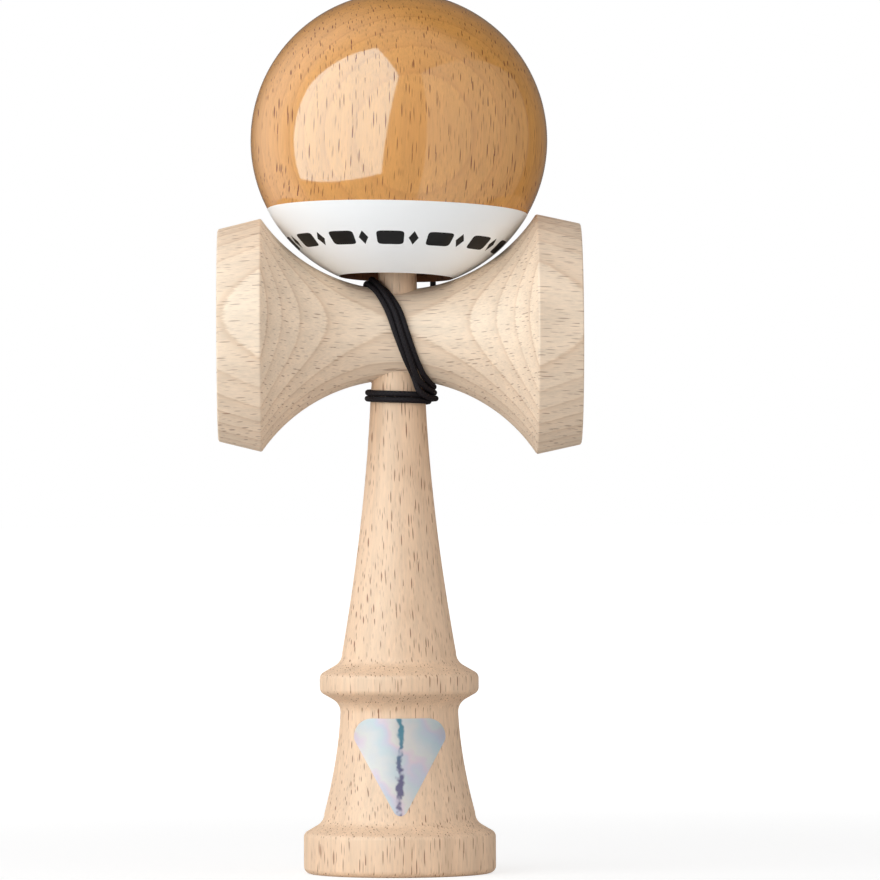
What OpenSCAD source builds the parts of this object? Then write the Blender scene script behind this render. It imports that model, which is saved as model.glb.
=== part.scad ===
// Kendama: a turned wooden ken with its spike, a sarado with two cups across it, and a drilled
// ball, the tama, on the spike. One string ties the ball to the ken and is wound up round both.
// Millimetres, +Z up. The origin is the middle of the foot, on the surface that it stands on.
// The big cup is on +X, and -Y is the front.

/* [Ken] */
// Diameter of the foot
foot_d = 38.8; // [36:0.2:42]
// Height of the foot, with its rounded edges
foot_h = 8.7; // [7:0.1:11]
// Diameter of the waist between the foot and the collar
base_waist_d = 23.8; // [21:0.2:26]
// Diameter of the base just above the foot
base_d = 30.4; // [28:0.2:32]
// Diameter of the collar
collar_d = 32.1; // [30:0.2:35]
// Height of the middle of the collar
collar_z = 38.4; // [35:0.2:42]
// Height of the collar's straight band
collar_band = 1.9; // [1:0.1:3]
// Diameter of the stem just above the collar
stem_d = 23.0; // [21:0.2:25]
// Diameter of the stem where the straight taper for the sarado begins
neck_d = 11.2; // [10:0.1:12.5]
// Length of that taper below the sarado, where the string is wound
neck_l = 4.6; // [4:0.1:6]
// Radius of the hollow curves beside the collar and the foot
cove_r = 3.0; // [2:0.1:3.5]
// Rounding of the outer edges of the foot and the collar
edge_r = 1.0; // [0.5:0.1:1.4]
// Diameter of the spike where it leaves the sarado
spike_d = 7.9; // [7:0.1:8.6]
// Diameter of the spike at its rounded tip
tip_d = 5.6; // [4:0.1:6.5]
// Diameter of the cup in the foot
foot_cup_d = 33; // [30:0.2:34]
// Depth of the cup in the foot
foot_cup_depth = 8.5; // [6:0.1:10]

/* [Sarado] */
// Height of the sarado's axis
sarado_z = 108.7; // [104:0.1:112]
// Diameter of its waist
sarado_waist_d = 18.2; // [17:0.1:20]
// Radius of the hollow curve from the waist to both ridges
flank_r = 33.5; // [31:0.1:36]
// Diameter of the ridge behind the big cup
big_ridge_d = 48.5; // [46:0.1:50]
// Distance from the ken's axis to the mouth of the big cup
big_reach = 37; // [34.5:0.1:39]
// Outer diameter of the big cup's mouth
big_mouth_d = 44.6; // [43:0.1:46]
// Inner diameter of the big cup's mouth
big_cup_d = 40; // [38:0.1:41.4]
// Depth of the big cup
big_cup_depth = 12; // [9:0.1:14]
// Diameter of the ridge behind the small cup
small_ridge_d = 47.1; // [45:0.1:49]
// Distance from the ken's axis to the mouth of the small cup
small_reach = 36.3; // [34:0.1:38]
// Outer diameter of the small cup's mouth
small_mouth_d = 42.8; // [41:0.1:44.5]
// Inner diameter of the small cup's mouth
small_cup_d = 38.2; // [36:0.1:39.6]
// Depth of the small cup
small_cup_depth = 11; // [8:0.1:13]
// Rounding of the ridges and the mouths
lip_r = 0.8; // [0.3:0.1:1]

/* [Tama] */
// Diameter of the ball
tama_d = 60; // [58:0.5:62]
// Diameter of the rim of the ball's hole
rim_d = 23; // [21.5:0.1:24]
// Diameter of the hole inside its bevel
hole_d = 20.6; // [19:0.1:21.2]
// Lean of the ball backwards on the spike, in degrees
tama_lean = 3.5; // [0:0.1:5]
// Lean of the ball to the right, in degrees
tama_roll = 1.5; // [0:0.1:2]
// Place of the hole's rim to the right of the ken's axis
tama_shift = -0.3; // [-0.6:0.1:0.6]
// Wood between the bead's chamber and the top of the ball
top_wall = 7.2; // [6:0.1:9]
// Diameter of the bead that keeps the string in the ball
bead_d = 7.6; // [6.5:0.1:8.4]
// Length of the stopper knot under the bead
tama_knot_l = 3; // [2.4:0.1:3.6]

/* [String] */
// Diameter of the string
string_d = 1.2; // [1:0.05:1.3]
// Diameter of the string's holes in the wood and the bead
string_hole_d = 2.6; // [2.2:0.1:3.2]
// Diameter of both stopper knots
knot_d = 4.0; // [3.4:0.1:4.4]
// Length of the stopper knot in the ken
ken_knot_l = 2.2; // [1.8:0.1:2.4]
// Turns of the string round the neck of the ken
neck_turns = 2; // [2]
// Slanting turns of the string round the sarado and the ken
slant_turns = 3; // [3]

/* [Label] */
// Width of the foil label on the base
label_w = 18.4; // [14:0.2:20]
// Height of the foil label
label_h = 19.4; // [14:0.2:20]
// Height of the label's lower tip above the foot's underside
label_z = 12.2; // [12:0.1:13]
// Thickness of the label
label_t = 0.2; // [0.1:0.05:0.4]
// Radius of the label's upper corners
label_top_r = 3.7; // [2:0.1:4.5]
// Radius of the label's lower tip
label_tip_r = 1.5; // [0.8:0.1:2.5]

/* [Clearances] */
// Room all round between the ken's taper and the sarado's bore
taper_fit = 0.05; // [0.02:0.01:0.1]
// Gap under the ball's rim on the sarado
seat_gap = 0.3; // [0.2:0.05:0.5]
// Room above the tip of the spike in the ball
tip_room = 3; // [2:0.1:4]
// Room round the bead and the knots
bead_room = 1; // [0.6:0.1:1.4]
// Gap between the wound string and the wood
wood_gap = 0.3; // [0.2:0.05:0.4]
// Gap between the bead and the pieces that it meets
bead_gap = 0.2; // [0.1:0.05:0.3]
// Gap from the end of the string in the ken to the sarado's waist, and from the winding to the lead
string_gap = 0.1; // [0.05:0.05:0.2]
// Thickness of the glue under the label
glue_t = 0.05; // [0.02:0.01:0.1]

/* [Hidden] */
$fn = 96;

arc_steps = 10;
curve_steps = 14;
path_steps = 3;
// Slope of the short flanks beside the collar and the foot, in degrees
slope = 30;
// Lean of the base and of the stem where their hollow curves end, and of the taper at the tip
base_lean = 14;
stem_lean = 8;
tip_lean = 6;
// Pull of the curves of the base and the stem: how far up, and how far out
pull_up = 0.55;
base_pull = 0.4;
stem_pull = 0.18;
// Lean of the label's sides at its corners and at its tip, and bow of its top
label_lean = 10;
label_tip_lean = 30;
label_bow = 5;
// Point angle of the drill that makes the ball's hole
drill_point = 118;
raw_beech = "#e8cda8";
lacquered_beech = "#c98f4e";
string_black = "#241f20";

// Ends of the ken's straight taper
sarado_top = sarado_z + sarado_waist_d / 2;
neck_z = sarado_z - sarado_waist_d / 2 - neck_l;

// Ball: the rim lies this far under its middle, and sits on both flanks of the sarado
rim_depth = sqrt(pow(tama_d / 2, 2) - pow(rim_d / 2, 2));
rim_rise = rim_d / 2 * sin(tama_roll);
seat_left = flank(tama_shift - rim_d / 2) - rim_rise;
seat_right = flank(tama_shift + rim_d / 2) + rim_rise;
seat_z = sarado_z + max(seat_left, seat_right) + seat_gap;

// Inside the ball, over its middle, from the top down to the end of the wide hole
chamber_d = bead_d + 2 * bead_room;
chamber_top = tama_d / 2 - top_wall;
bead_z = chamber_top - bead_gap - bead_d / 2;
tama_knot_top = bead_z - bead_d / 2 - bead_gap;
hole_top = tama_knot_top - tama_knot_l;
drill_h = (hole_d - chamber_d) / 2 / tan(drill_point / 2);
top_dish_d = 2 * string_hole_d;

// Height of the ken: the spike's tip stays clear of the end of the hole
ken_h = seat_z + rim_depth + hole_top - tip_room;

// Knot in the ken: its pocket opens on the front of the taper
pocket_y = taper_r(sarado_z) - ken_knot_l - bead_room / 2;
string_exit_y = sarado_waist_d / 2 + string_gap;

// String layers on the wood, from the wood to the middle of the string
layer_gap = 0.85;
turn_gap = 0.45;
layer_step = string_d + layer_gap;
layer_1 = string_d / 2 + wood_gap;
layer_2 = layer_1 + layer_step;
neck_pitch = string_d + turn_gap;
neck_top = 1.75;
tube_sides = 6;
lead_sides = 8;
// Points this far apart along the winding are neighbours on purpose
gap_window = 6 * string_d;

// Slanting turn of the winding: [on the sarado: x, degrees round from the top over the front]
// or [on the ken: degrees round from the front over the right, height over the taper's start]
slant_front_inner = [[-4.9, 0], [-3, 30], [-0.4, 60], [2.2, 90], [4.5, 118], [6.2, 140]];
slant_front_outer = [[-8.3, 0], [-6.6, 30], [-4.1, 60], [-1.5, 90], [0.9, 119], [2.7, 142]];
slant_ken_inner = [[60, 3.9], [82, 3], [107, 2.9], [132, 2.7], [158, 2.5], [180, 2.6], [196, 3.6]];
slant_ken_outer = [[28, 2.2], [46, 0.1], [74, -1.1], [104, -1.6], [140, -1.7], [175, -1.5], [220, -0.1]];
slant_back_inner = [[-4, 249], [-4.6, 266], [-5, 290], [-5, 318], [-5, 342]];
slant_back_outer = [[-8, 248], [-8.3, 266], [-8.4, 290], [-8.4, 318], [-8.4, 342]];
// Each slanting turn moves in by one lane while it passes behind the ken
lane_drop = [0, 0, 0, 0.25, 0.5, 0.75, 1];

// Way from the hole in the sarado's back down to the neck, and the climb after the neck's turns
drop_route = [[1.2, 12.4, 107.2], [2.8, 12, 104.4], [3.9, 9.8, 101.6], [3.5, 7, 99.1]];
drop_ken = [[169, 3]];
climb_ken = [[177, -1.2, 0], [196, -1.3, 1], [220, -0.2, 1]];
// Way up from the last slanting turn, along the sarado's back on the right
rise_ken = [[81, 2.75], [105, 2.75], [126, 3.4]];
rise_back = [[6.1, 218], [6.6, 230], [7, 243]];

// Free lead: where it leaves the winding, its way over the ball, [x, degrees up the ball's back]
lead_start = [7.3, 13.4, 111];
lead_over = [
    [7.5, -35], [7.4, -26], [7.1, -16], [6.7, -6], [6.2, 4], [5.6, 14], [4.9, 25], [4.2, 36],
    [3.4, 48], [2.6, 60], [1.9, 71],
];
lead_gap = 0.5;
// The lead's last bend, [behind the middle of the ball's top, above it]
lead_tail = [[3.6, 1.3], [1.8, 1.1], [0.5, 0.3], [0, -0.8]];
lead_depth = 2;

// Shared shapes

// Radius of the sarado's hollow flank at a distance x from the ken's axis
function flank(x) = sarado_waist_d / 2 + flank_r - sqrt(pow(flank_r, 2) - pow(x, 2));

// Distance from the ken's axis at which the flank reaches a radius
function flank_x(r) = sqrt(pow(flank_r, 2) - pow(sarado_waist_d / 2 + flank_r - r, 2));

// Radius of the ken's straight taper at a height
function taper_r(z) = neck_d / 2 + (spike_d - neck_d) / 2 * (z - neck_z) / (sarado_top - neck_z);

// Radius of the round cup whose mouth and depth are given
function cup_r(d, depth) = (pow(d / 2, 2) + pow(depth, 2)) / (2 * depth);

// Value or point between a and b
function between(a, b, t) = a + (b - a) * t;

// Points of an arc, and of a curve from a to c drawn towards b
function arc(c, r, from, to) =
    [for (i = [0:arc_steps]) let (a = between(from, to, i / arc_steps)) c + r * [cos(a), sin(a)]];
function curve(a, b, c) =
    [for (i = [0:curve_steps]) let (t = i / curve_steps) pow(1 - t, 2) * a + 2 * t * (1 - t) * b + t * t * c];

// Points of a rounded corner at p, between the neighbours a and b
function corner(a, p, b, r) = let (
        u = (a - p) / norm(a - p),
        v = (b - p) / norm(b - p),
        half = acos(u * v) / 2,
        c = p + (u + v) / norm(u + v) * r / sin(half),
        s = p + u * r / tan(half) - c,
        e = p + v * r / tan(half) - c,
        from = atan2(s[1], s[0]),
        turn = atan2(s[0] * e[1] - s[1] * e[0], s * e)
    ) arc(c, r, from, from + turn);

// Run of the slope between a hollow curve and an outer edge
function slope_run(r_in, r_out) =
    (r_out - r_in - (edge_r + cove_r) * (1 - sin(slope))) / cos(slope);
// Height that such a flank takes up, from the end of its hollow to the middle of its edge
function flank_rise(r_in, r_out) = (edge_r + cove_r) * cos(slope) + slope_run(r_in, r_out) * sin(slope);

// Ring of points round a tube's middle line, and the tube itself as one closed solid
function direction(path, i) = let (
        before = path[max(i - 1, 0)],
        after = path[min(i + 1, len(path) - 1)]
    ) (after - before) / norm(after - before);
function square_to(n, t) = let (s = n - (n * t) * t) s / norm(s);
function rings(path, r, sides, start) = [
    for (i = 0, t = direction(path, 0), n = square_to(start, t);
         i < len(path);
         i = i + 1, t = i < len(path) ? direction(path, i) : t, n = square_to(n, t))
        [for (k = [0:sides - 1]) path[i] + r * (cos(360 * k / sides) * n + sin(360 * k / sides) * cross(t, n))]
];
module tube(path, d, sides, start) {
    loops = rings(path, d / 2, sides, start);
    last = len(path) - 1;
    points = [for (loop = loops) each loop];
    walls = [for (i = [0:last - 1], k = [0:sides - 1]) let (
            a = i * sides + k,
            b = i * sides + (k + 1) % sides
        ) each [[a, a + sides, b], [b, a + sides, b + sides]]];
    first_cap = [for (k = [1:sides - 2]) [0, k, k + 1]];
    last_cap = [for (k = [1:sides - 2]) [last * sides, last * sides + k + 1, last * sides + k]];
    polyhedron(points, concat(walls, first_cap, last_cap), convexity = 10);
}

// Smooth line through points, with a number of steps from each to the next
function smooth_step(a, b, c, d, t) =
    b + t / 2 * (c - a + t * (2 * a - 5 * b + 4 * c - d + t * (3 * (b - c) + d - a)));
function smooth(points, steps) = concat(
    [for (i = [0:len(points) - 2], k = [0:steps - 1])
        smooth_step(points[max(i - 1, 0)], points[i], points[i + 1],
                    points[min(i + 2, len(points) - 1)], k / steps)],
    [points[len(points) - 1]]);

// Least gap between two stretches of one tube
function along(path, i = 0, sum = 0, sums = []) = i == len(path) ? sums :
    along(path, i + 1, sum + (i + 1 < len(path) ? norm(path[i + 1] - path[i]) : 0), concat(sums, [sum]));
function least_gap(path, d) = let (at = along(path)) min([
    for (i = [0:len(path) - 1], j = [i + 1:1:len(path) - 1])
        if (at[j] - at[i] > gap_window) norm(path[i] - path[j])]) - d;

// Points on the wood: on the sarado at x, turned over the front, and on the ken, turned to the right
function on_sarado(p, h) =
    [p[0], -(flank(p[0]) + h) * sin(p[1]), sarado_z + (flank(p[0]) + h) * cos(p[1])];
function on_ken(p, h) = let (z = neck_z + p[1], r = taper_r(z) + h) [r * sin(p[0]), -r * cos(p[0]), z];

// String wound on the wood

// Points of slanting turn k, whose lane is 1 at the outer side and 0 at the inner
function slant_lane(k) = 1 - k / (slant_turns - 1);
function slant_front(k) = [for (i = [0:len(slant_front_inner) - 1])
    on_sarado(between(slant_front_inner[i], slant_front_outer[i], slant_lane(k)), layer_1)];
function slant_behind(k) = [for (i = [0:len(slant_ken_inner) - 1])
    on_ken(between(slant_ken_inner[i], slant_ken_outer[i], slant_lane(k + lane_drop[i])), layer_2)];
function slant_back(lane) = [for (i = [0:len(slant_back_inner) - 1])
    on_sarado(between(slant_back_inner[i], slant_back_outer[i], lane), layer_1)];

neck_loops = [for (a = [200:45:360 * neck_turns + 160])
    on_ken([a, neck_top - neck_pitch * (a - 360) / 360], layer_1)];
slant_loops = [for (k = [0:slant_turns - 1]) each concat(
    slant_front(k),
    k < slant_turns - 1 ? concat(slant_behind(k), slant_back(slant_lane(k + 1))) : [])];
climb = concat(
    [for (p = climb_ken) on_ken(p, layer_1 + p[2] * layer_step)],
    slant_back(1));
rise = concat(
    [on_ken(slant_ken_inner[0], layer_2)],
    [for (p = rise_ken) on_ken(p, layer_2)],
    [for (p = rise_back) on_sarado(p, layer_1)]);
drop_end = [for (p = drop_ken) on_ken(p, layer_1)];
string_start = [0, string_exit_y, sarado_z];
string_straight = string_start + [0, string_d, 0];
// The winding's end runs straight in line with the lead, and stops square to it
lead_way = (on_tama(lead_over[0]) - lead_start) / norm(on_tama(lead_over[0]) - lead_start);
winding_end = lead_start - string_gap * lead_way;
end_straight = winding_end - string_d * lead_way;
winding_path = concat(
    [string_start],
    smooth(concat([string_straight], drop_route, drop_end, neck_loops, climb, slant_loops,
                  rise, [end_straight]), path_steps),
    [winding_end]);
lead_end = tama_d / 2 - lead_depth;
lead_path = concat(
    smooth(concat(
        [for (t = [0:0.25:0.75]) between(lead_start, on_tama(lead_over[0]), t)],
        [for (p = lead_over) on_tama(p)],
        [for (p = lead_tail) tama_point([0, p[0], tama_d / 2 + p[1]])]), path_steps),
    [tama_point([0, 0, lead_end])]);

echo("least gap of the winding to itself", least_gap(winding_path, string_d));
echo("lengths of the winding and the lead", along(winding_path)[len(winding_path) - 1],
     along(lead_path)[len(lead_path) - 1]);

// Place of the ball, from its own frame with the hole downwards, and points on and over it
module at_tama() {
    translate([tama_shift, 0, seat_z]) rotate([-tama_lean, tama_roll, 0])
        translate([0, 0, rim_depth]) children();
}
function on_tama(p) = let (
        middle = tama_point([0, 0, 0]),
        r = sqrt(pow(tama_d / 2 + string_d / 2 + lead_gap, 2) - pow(p[0] - middle[0], 2))
    ) [p[0], middle[1] + r * cos(p[1]), middle[2] + r * sin(p[1])];
function tama_point(p) = let (
        z = p[2] + rim_depth,
        y1 = p[1] * cos(tama_lean) + z * sin(tama_lean),
        z1 = z * cos(tama_lean) - p[1] * sin(tama_lean)
    ) [tama_shift + p[0] * cos(tama_roll) + z1 * sin(tama_roll), y1,
       seat_z + z1 * cos(tama_roll) - p[0] * sin(tama_roll)];

// Outlines

// Half outline of the ken, from the foot up to the tip
function ken_outline() = let (
        foot_r = foot_d / 2,
        base_r = base_d / 2,
        base_z = foot_h - edge_r + flank_rise(base_r, foot_r),
        waist_r = base_waist_d / 2,
        waist_z = collar_z - collar_band / 2 - flank_rise(waist_r, collar_d / 2),
        stem_r = stem_d / 2,
        stem_z = collar_z + collar_band / 2 + flank_rise(stem_r, collar_d / 2),
        neck_r = neck_d / 2,
        tip_r = tip_d / 2
    ) concat(
        [[0, 0]],
        arc([foot_r - edge_r, edge_r], edge_r, -90, 0),
        arc([foot_r - edge_r, foot_h - edge_r], edge_r, 0, 90 - slope),
        arc([base_r + cove_r, base_z], cove_r, 270 - slope, 180 + base_lean),
        curve([base_r, base_z], [waist_r + base_pull, between(base_z, waist_z, pull_up)], [waist_r, waist_z]),
        arc([waist_r + cove_r, waist_z], cove_r, 180, 90 + slope),
        arc([collar_d / 2 - edge_r, collar_z - collar_band / 2], edge_r, slope - 90, 0),
        arc([collar_d / 2 - edge_r, collar_z + collar_band / 2], edge_r, 0, 90 - slope),
        arc([stem_r + cove_r, stem_z], cove_r, 270 - slope, 180 + stem_lean),
        curve([stem_r, stem_z], [between(neck_r, stem_r, stem_pull), between(stem_z, neck_z, pull_up)],
              [neck_r, neck_z]),
        [[spike_d / 2, sarado_top]],
        arc([0, ken_h - tip_r], tip_r, tip_lean, 90));

// Half outline of the sarado along its own axis, from the small cup to the big one
function sarado_outline() = let (
        small_ridge = [small_ridge_d / 2, -flank_x(small_ridge_d / 2)],
        big_ridge = [big_ridge_d / 2, flank_x(big_ridge_d / 2)],
        flank_points = [for (i = [1:2 * curve_steps - 1])
            let (x = between(small_ridge[1], big_ridge[1], i / (2 * curve_steps))) [flank(x), x]],
        small_mouth = [small_mouth_d / 2, -small_reach],
        big_mouth = [big_mouth_d / 2, big_reach],
        small_in = [small_cup_d / 2, -small_reach],
        big_in = [big_cup_d / 2, big_reach],
        small_bowl = cup_points(small_cup_d, small_cup_depth, -small_reach, 1),
        big_bowl = cup_points(big_cup_d, big_cup_depth, big_reach, -1)
    ) concat(
        small_bowl,
        corner(small_bowl[len(small_bowl) - 1], small_in, small_mouth, lip_r),
        corner(small_in, small_mouth, small_ridge, lip_r),
        corner(small_mouth, small_ridge, flank_points[0], lip_r),
        flank_points,
        corner(flank_points[len(flank_points) - 1], big_ridge, big_mouth, lip_r),
        corner(big_ridge, big_mouth, big_in, lip_r),
        corner(big_mouth, big_in, big_bowl[len(big_bowl) - 1], lip_r),
        [for (i = [len(big_bowl) - 1:-1:0]) big_bowl[i]]);

// Bowl of a cup from its bottom towards its lip, short of the lip's rounding
function cup_points(d, depth, mouth, way) = let (
        r = cup_r(d, depth),
        open = asin(d / 2 / r)
    ) [for (i = [0:curve_steps]) let (a = open * i / (curve_steps + 1))
        [r * sin(a), mouth + way * (depth - r + r * cos(a))]];

// Half outline of what is drilled out of the ball, from below the rim to above its top
function tama_bore() = let (
        rim_r = rim_d / 2,
        hole_r = hole_d / 2,
        chamber_r = chamber_d / 2,
        string_r = string_hole_d / 2,
        top = tama_d / 2
    ) [[0, -top], [rim_r, -top], [rim_r, -rim_depth], [hole_r, -rim_depth + rim_r - hole_r],
       [hole_r, hole_top - drill_h], [chamber_r, hole_top], [chamber_r, chamber_top], [string_r, chamber_top],
       [string_r, top - string_hole_d / 2], [top_dish_d / 2, top], [0, top]];

// Outline of the label: broad and rounded at the top, drawn in to a blunt tip
function label_outline() = let (
        corner_x = label_w / 2 - label_top_r,
        corner_z = label_h - label_top_r
    ) concat(
        arc([corner_x, corner_z], label_top_r, -label_lean, 90 + label_bow),
        arc([-corner_x, corner_z], label_top_r, 90 - label_bow, 180 + label_lean),
        arc([0, label_tip_r], label_tip_r, 180 + label_tip_lean, 360 - label_tip_lean));

// Sub-parts

module knot(length) {
    wraps = 3;
    wrap_r = length / (2 * wraps);
    rotate_extrude() {
        for (i = [0:wraps - 1]) translate([knot_d / 2 - wrap_r, wrap_r * (2 * i + 1)]) circle(r = wrap_r);
        square([knot_d / 2 - wrap_r, length]);
    }
}

module ken() {
    pocket_d = knot_d + bead_room;
    color(raw_beech) difference() {
        rotate_extrude() polygon(ken_outline());
        translate([0, 0, foot_cup_depth - cup_r(foot_cup_d, foot_cup_depth)])
            sphere(r = cup_r(foot_cup_d, foot_cup_depth));
        translate([0, -pocket_y, sarado_z]) rotate([90, 0, 0]) cylinder(d = pocket_d, h = foot_d);
        translate([0, -pocket_y, sarado_z]) rotate([-90, 0, 0]) cylinder(d = string_hole_d, h = foot_d);
    }
}

module sarado() {
    color(raw_beech) translate([0, 0, sarado_z]) difference() {
        rotate([0, 90, 0]) rotate_extrude() polygon(sarado_outline());
        translate([0, 0, neck_z - sarado_z])
            cylinder(r1 = taper_r(neck_z) + taper_fit, r2 = taper_r(sarado_top + neck_l) + taper_fit,
                     h = sarado_top + neck_l - neck_z);
        rotate([-90, 0, 0]) cylinder(d = string_hole_d, h = big_ridge_d);
    }
}

module tama() {
    color(lacquered_beech) at_tama() difference() {
        sphere(d = tama_d);
        rotate_extrude() polygon(tama_bore());
    }
}

module tama_bead() {
    color("#8c5a2c") at_tama() translate([0, 0, bead_z]) difference() {
        sphere(d = bead_d);
        cylinder(d = string_hole_d, h = 2 * bead_d, center = true);
    }
}

module tama_knot() {
    color(string_black) at_tama() translate([0, 0, hole_top]) knot(tama_knot_l);
}

module string_in_tama() {
    color(string_black) at_tama() translate([0, 0, tama_knot_top])
        cylinder(d = string_d, h = lead_end - tama_knot_top);
}

module string_lead() {
    color(string_black) tube(lead_path, string_d, lead_sides, [1, 0, 0]);
}

module string_winding() {
    color(string_black) tube(winding_path, string_d, tube_sides, [1, 0, 0]);
}

module string_in_ken() {
    color(string_black) translate([0, -pocket_y, sarado_z]) rotate([-90, 0, 0])
        cylinder(d = string_d, h = string_exit_y + pocket_y);
}

module ken_knot() {
    color(string_black) translate([0, -pocket_y, sarado_z]) rotate([90, 0, 0]) knot(ken_knot_l);
}

module base_label() {
    color("#c9dbe6") intersection() {
        translate([0, 0, label_z]) rotate([90, 0, 0]) linear_extrude(foot_d) polygon(label_outline());
        difference() {
            rotate_extrude() polygon([for (p = ken_outline()) p + [p[0] > 0 ? glue_t + label_t : 0, 0]]);
            rotate_extrude() polygon([for (p = ken_outline()) p + [p[0] > 0 ? glue_t : 0, 0]]);
        }
    }
}

ken();
sarado();
tama();
tama_bead();
tama_knot();
string_in_tama();
string_lead();
string_winding();
string_in_ken();
ken_knot();
base_label();
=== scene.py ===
"""Kendama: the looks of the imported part, in metres and in the part's own frame."""
import math

import bmesh
import bpy
from mathutils import Matrix, Vector


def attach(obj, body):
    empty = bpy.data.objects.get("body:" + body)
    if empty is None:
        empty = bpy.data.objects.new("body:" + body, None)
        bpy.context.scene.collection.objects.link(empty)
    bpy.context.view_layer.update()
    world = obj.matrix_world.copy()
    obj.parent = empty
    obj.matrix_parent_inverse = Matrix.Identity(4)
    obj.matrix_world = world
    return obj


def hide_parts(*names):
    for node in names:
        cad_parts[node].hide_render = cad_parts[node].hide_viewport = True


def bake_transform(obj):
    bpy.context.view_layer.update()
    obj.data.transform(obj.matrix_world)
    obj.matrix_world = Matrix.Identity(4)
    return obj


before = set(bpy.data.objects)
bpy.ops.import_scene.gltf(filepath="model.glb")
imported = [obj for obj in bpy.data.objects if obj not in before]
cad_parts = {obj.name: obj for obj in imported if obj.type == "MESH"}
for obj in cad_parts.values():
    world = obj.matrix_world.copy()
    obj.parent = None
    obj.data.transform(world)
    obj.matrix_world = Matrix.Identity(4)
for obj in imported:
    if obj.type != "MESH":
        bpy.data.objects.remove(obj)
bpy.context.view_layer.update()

# Sizes of the wood, in metres

MM = 0.001
FOOT_R = 0.0194
FOOT_H = 0.0087
FOOT_CUP_D = 0.033
FOOT_CUP_DEPTH = 0.0085
FOOT_LIP = 0.0005
BASE_R = 0.0152
WAIST_R = 0.0119
COLLAR_R = 0.01605
COLLAR_Z = 0.0384
COLLAR_BAND = 0.0019
STEM_R = 0.0115
NECK_R = 0.0056
NECK_Z = 0.095
COVE_R = 0.003
EDGE_R = 0.0014
SPIKE_R = 0.00395
TIP_R = 0.0028
KEN_H = 0.15684
SLOPE = 30
BASE_LEAN = 14
STEM_LEAN = 8
TIP_LEAN = 6
PULL_UP = 0.55
BASE_PULL = 0.0004
STEM_PULL = 0.18

SARADO_Z = 0.1087
SARADO_WAIST_R = 0.0091
SARADO_TOP = SARADO_Z + SARADO_WAIST_R
FLANK_R = 0.0335
BIG_RIDGE_R = 0.02425
BIG_REACH = 0.037
BIG_MOUTH_R = 0.0223
BIG_CUP_D = 0.04
BIG_CUP_DEPTH = 0.012
SMALL_RIDGE_R = 0.02355
SMALL_REACH = 0.0363
SMALL_MOUTH_R = 0.0214
SMALL_CUP_D = 0.0382
SMALL_CUP_DEPTH = 0.011
LIP_R = 0.0005
TAPER_FIT = 0.00005

TAMA_R = 0.03
RIM_R = 0.0115
RIM_DEPTH = math.sqrt(TAMA_R ** 2 - RIM_R ** 2)
HOLE_R = 0.0103
HOLE_TOP = 0.0118
CHAMBER_R = 0.0048
CHAMBER_TOP = 0.0228
DRILL_POINT = 118
TOP_DISH_R = 0.0026
TAMA_LEAN = 3.5
TAMA_ROLL = 1.5
TAMA_SHIFT = -0.0003
SEAT_Z = 0.120329
# The white cap: where its edge runs under the ball's middle, and how thick the paint is
PAINT_DEPTH = 0.0145
PAINT_T = 0.00005

# Sizes of the string and the label

STRING_D = 0.0012
STRING_HOLE_R = 0.0013
POCKET_Y = 0.0019
POCKET_R = 0.0025
STRING_EXIT_Y = 0.0092
KEN_KNOT_L = 0.0022
TAMA_KNOT_L = 0.003
TAMA_KNOT_TOP = 0.0148
LEAD_END = 0.028

LABEL_W = 0.0184
LABEL_H = 0.0194
LABEL_Z = 0.0122
LABEL_TOP_R = 0.0037
LABEL_TIP_R = 0.0015
LABEL_T = 0.00012
LABEL_OFF = 0.00003

# How finely round things are divided

LATHE_SEGMENTS = 192
COARSE_SEGMENTS = 48
ARC_STEPS = 8
CURVE_STEPS = 48
BALL_STEPS = 96
LABEL_ARC_STEPS = 24
LABEL_ROWS = 64
LABEL_COLUMNS = 40
TUBE_SIDES = 12
TUBE_STEP = 0.00025
WRAP_STEPS = 24


def between(a, b, t):
    """Value or point between a and b."""
    return a + (b - a) * t


# Outlines, as points of radius and height


def arc(centre, radius, start, end, steps=ARC_STEPS):
    """Points of an arc between two angles in degrees."""
    points = []
    for k in range(steps + 1):
        a = math.radians(between(start, end, k / steps))
        points.append(Vector((centre[0] + radius * math.cos(a), centre[1] + radius * math.sin(a))))
    return points


def curve(start, pull, end, steps=CURVE_STEPS):
    """Points of a curve from start to end, drawn towards pull."""
    points = []
    for k in range(steps + 1):
        t = k / steps
        points.append((1 - t) ** 2 * start + 2 * t * (1 - t) * pull + t * t * end)
    return points


def corner(before, point, after, radius):
    """Points of a rounded corner between two neighbours."""
    to_before = (before - point).normalized()
    to_after = (after - point).normalized()
    half = to_before.angle(to_after) / 2
    centre = point + (to_before + to_after).normalized() * radius / math.sin(half)
    first = point + to_before * radius / math.tan(half) - centre
    last = point + to_after * radius / math.tan(half) - centre
    start = math.degrees(math.atan2(first.y, first.x))
    turn = math.degrees(math.atan2(first.x * last.y - first.y * last.x, first.dot(last)))
    return arc(centre, radius, start, start + turn)


def flank_rise(r_in, r_out):
    """Height from the end of a hollow curve to the middle of the outer edge that it leads to."""
    slope = math.radians(SLOPE)
    run = (r_out - r_in - (EDGE_R + COVE_R) * (1 - math.sin(slope))) / math.cos(slope)
    return (EDGE_R + COVE_R) * math.cos(slope) + run * math.sin(slope)


def cup(mouth_d, depth):
    """Points of a round cup from its bottom to its mouth: radius, and height over the mouth's plane."""
    radius = ((mouth_d / 2) ** 2 + depth ** 2) / (2 * depth)
    opening = math.asin(mouth_d / 2 / radius)
    angles = [opening * k / CURVE_STEPS for k in range(CURVE_STEPS + 1)]
    return [Vector((radius * math.sin(a), depth - radius + radius * math.cos(a))) for a in angles]


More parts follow.
